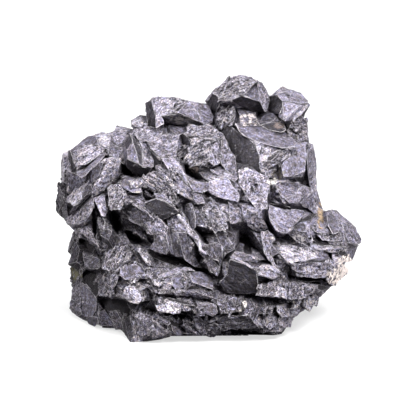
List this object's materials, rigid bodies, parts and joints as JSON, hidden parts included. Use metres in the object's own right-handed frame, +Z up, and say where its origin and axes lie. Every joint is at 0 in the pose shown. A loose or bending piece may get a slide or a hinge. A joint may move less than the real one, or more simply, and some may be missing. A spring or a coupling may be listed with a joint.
{
  "type": "galena specimen",
  "caption": "Cabinet-size cluster of intergrown, skeletal lead-grey galena crystals with a cleaved back, resting on a flat broken face.",
  "frame": {"origin": "middle of the specimen's box at the height of the flat face it rests on", "axes": "+Z up from the flat underside, +X to the right across the crystal face, -Y out of the crystal face towards the viewer, +Y to the cleaved back"},
  "size_m": [0.1024, 0.0764, 0.0782],
  "materials": {
    "galena": "lead-grey metallic, frosted and striated, bright on the edges, nearly black in the hollows, with traces of cream carbonate and brown stain"
  },
  "bodies": {
    "root": {"galena": "galena"}
  },
  "joints": []
}
